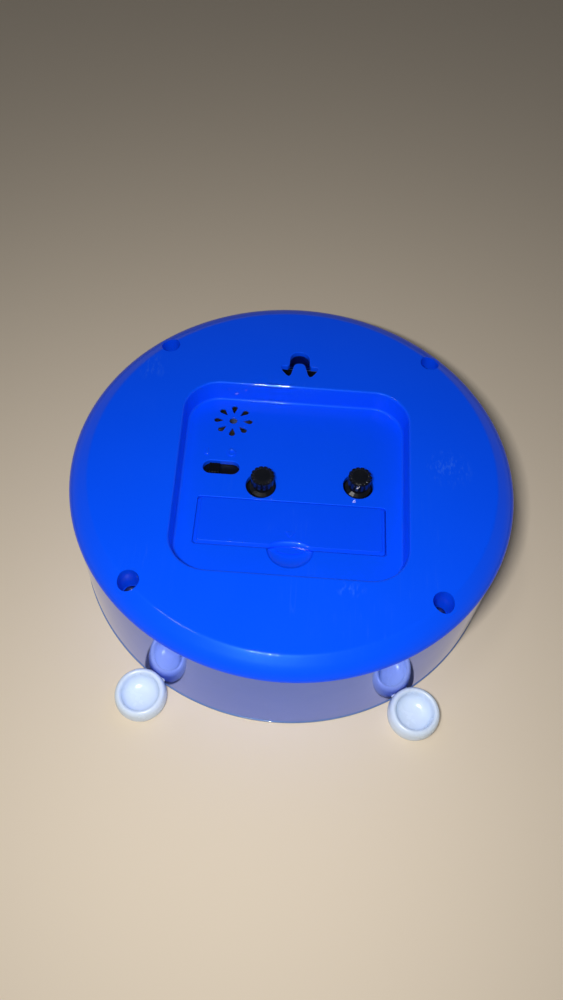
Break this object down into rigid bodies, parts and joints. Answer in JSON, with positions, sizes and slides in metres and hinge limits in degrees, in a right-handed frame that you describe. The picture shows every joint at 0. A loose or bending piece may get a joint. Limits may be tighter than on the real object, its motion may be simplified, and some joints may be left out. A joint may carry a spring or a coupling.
{
  "type": "alarm clock",
  "caption": "Round quartz alarm clock lying on its glass: blue back cover with recessed setting controls and battery door, plated drum wall, ball feet and a geared movement behind the dial.",
  "frame": {"origin": "centre of the flat front glass, on the hand axis; the clock lies on its glass, so this is also the plane it rests on", "axes": "+Z out of the back cover (up as it lies), +Y towards 12 o'clock (away from the feet), +X towards 9 o'clock, which is the right-hand side seen from the back"},
  "size_m": [0.1468, 0.1499, 0.0415],
  "materials": {
    "blue_plastic": "glossy moulded plastic, saturated blue",
    "plated_wall": "mirror-bright plating with a blue tint on plastic",
    "lilac_plastic": "glossy pale periwinkle plastic",
    "black_plastic": "satin black moulded plastic",
    "clear_front": "clear polished",
    "white_plastic": "satin white",
    "dial_face": "printed dial",
    "dark_hand": "dark blue lacquer",
    "red_hand": "red lacquer",
    "yellow_hand": "yellow lacquer",
    "acetal": "natural acetal",
    "steel": "zinc plated",
    "brass": "turned brass",
    "copper": "enamelled copper winding",
    "board": "circuit board",
    "cell_wrap": "foil wrapped battery",
    "rubber": "soft rubber"
  },
  "bodies": {
    "case": {"back_cover": "blue_plastic", "front_bezel": "blue_plastic", "case_ring": "plated_wall", "front_lens": "clear_front", "dial_ring": "white_plastic", "dial_plate": "dial_face", "dial_washer": "rubber", "mounting_nut": "brass", "case_screw_1": "steel", "case_screw_2": "steel", "case_screw_3": "steel", "case_screw_4": "steel", "foot_left": "lilac_plastic", "foot_right": "lilac_plastic", "battery_cell": "cell_wrap", "contact_positive": "steel", "contact_negative": "steel", "contact_spring": "steel", "alarm_switch_body": "black_plastic", "buzzer_holder": "black_plastic", "buzzer_disc": "brass", "movement_front_case": "white_plastic", "movement_rear_case": "black_plastic", "train_bridge": "white_plastic", "stator_plate": "steel", "coil": "copper", "circuit_board": "board", "control_chip": "black_plastic", "quartz_crystal": "steel"},
    "battery_lid": {"battery_door": "blue_plastic"},
    "alarm_switch": {"alarm_switch_slider": "black_plastic"},
    "minute": {"cannon_pinion": "brass", "minute_hand": "dark_hand"},
    "hour": {"hour_wheel": "acetal", "hour_hand": "dark_hand"},
    "motion": {"motion_wheel": "acetal"},
    "time_knob": {"time_set_knob": "black_plastic"},
    "alarm": {"alarm_wheel": "acetal", "alarm_hand": "yellow_hand"},
    "alarm_knob": {"alarm_set_knob": "black_plastic"},
    "second": {"second_wheel": "acetal", "second_hand": "red_hand"},
    "centre": {"centre_wheel": "acetal"},
    "third": {"third_wheel": "acetal"},
    "intermediate": {"intermediate_wheel": "acetal"},
    "rotor": {"rotor": "acetal"}
  },
  "joints": [
    {"name": "minute_hand_spin", "type": "hinge", "parent": "case", "child": "minute", "pos_m": [0, 0, 0.01], "axis": [0, 0, 1], "continuous": true},
    {"name": "hour_hand_spin", "type": "hinge", "parent": "case", "child": "hour", "pos_m": [0, 0, 0.01], "axis": [0, 0, 1], "continuous": true},
    {"name": "motion_wheel_spin", "type": "hinge", "parent": "case", "child": "motion", "pos_m": [0.00996, 0.00094, 0.015], "axis": [0, 0, 1], "continuous": true},
    {"name": "time_knob_spin", "type": "hinge", "parent": "case", "child": "time_knob", "pos_m": [0.02187, -0.00284, 0.028], "axis": [0, 0, 1], "continuous": true},
    {"name": "alarm_hand_spin", "type": "hinge", "parent": "case", "child": "alarm", "pos_m": [0, 0, 0.01], "axis": [0, 0, 1], "continuous": true},
    {"name": "alarm_knob_spin", "type": "hinge", "parent": "case", "child": "alarm_knob", "pos_m": [-0.0098, -0.0051, 0.028], "axis": [0, 0, 1], "continuous": true},
    {"name": "second_hand_spin", "type": "hinge", "parent": "case", "child": "second", "pos_m": [0, 0, 0.01], "axis": [0, 0, 1], "continuous": true},
    {"name": "third_wheel_spin", "type": "hinge", "parent": "case", "child": "third", "pos_m": [-0.00349, 0.00958, 0.019], "axis": [0, 0, 1], "continuous": true},
    {"name": "centre_wheel_spin", "type": "hinge", "parent": "case", "child": "centre", "pos_m": [0, 0, 0.0185], "axis": [0, 0, 1], "continuous": true},
    {"name": "intermediate_wheel_spin", "type": "hinge", "parent": "case", "child": "intermediate", "pos_m": [0.00594, 0.00594, 0.022], "axis": [0, 0, 1], "continuous": true},
    {"name": "rotor_spin", "type": "hinge", "parent": "case", "child": "rotor", "pos_m": [0.00954, 0.01218, 0.022], "axis": [0, 0, 1], "continuous": true},
    {"name": "alarm_switch_slide", "type": "slide", "parent": "case", "child": "alarm_switch", "axis": [1, 0, 0], "range_m": [0, 0.0046]},
    {"name": "battery_door_hinge", "type": "hinge", "parent": "case", "child": "battery_lid", "pos_m": [0.00025, -0.0111, 0.0335], "axis": [-1, 0, 0], "range_deg": [0, 75]}
  ],
  "couplings": [
    {"joint": "hour_hand_spin", "follows": "minute_hand_spin", "ratio": 0.083333},
    {"joint": "motion_wheel_spin", "follows": "minute_hand_spin", "ratio": -0.33333},
    {"joint": "time_knob_spin", "follows": "minute_hand_spin", "ratio": 0.5},
    {"joint": "alarm_knob_spin", "follows": "alarm_hand_spin", "ratio": -2},
    {"joint": "third_wheel_spin", "follows": "second_hand_spin", "ratio": -0.13333},
    {"joint": "centre_wheel_spin", "follows": "second_hand_spin", "ratio": 0.016667},
    {"joint": "intermediate_wheel_spin", "follows": "second_hand_spin", "ratio": -6},
    {"joint": "rotor_spin", "follows": "second_hand_spin", "ratio": 30}
  ]
}
